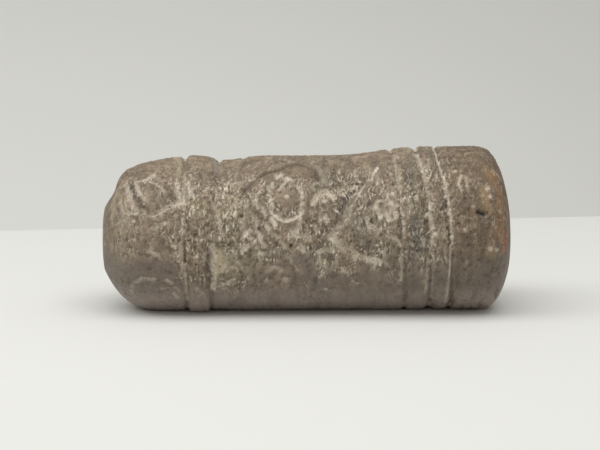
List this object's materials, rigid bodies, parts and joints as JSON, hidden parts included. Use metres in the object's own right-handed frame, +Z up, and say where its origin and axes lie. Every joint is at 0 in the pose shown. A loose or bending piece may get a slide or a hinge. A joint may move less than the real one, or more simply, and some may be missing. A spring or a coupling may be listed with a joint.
{
  "type": "cylinder seal",
  "caption": "Large carved stone cylinder seal: a waisted barrel with domed ends, encircling grooves, a raised bead, an engraved frieze and a lengthwise bore.",
  "frame": {"origin": "middle of the small flat that the seal lies on, under the middle of its length", "axes": "+X along the barrel towards its wider end, +Z up, and the engraved side that the picture shows faces -Y"},
  "size_m": [0.06, 0.0244, 0.024],
  "materials": {
    "stone": "dull close-grained grey-brown stone, worn smooth low on the front, with cream deposit in the cuts"
  },
  "bodies": {
    "root": {"seal": "stone"}
  },
  "joints": []
}
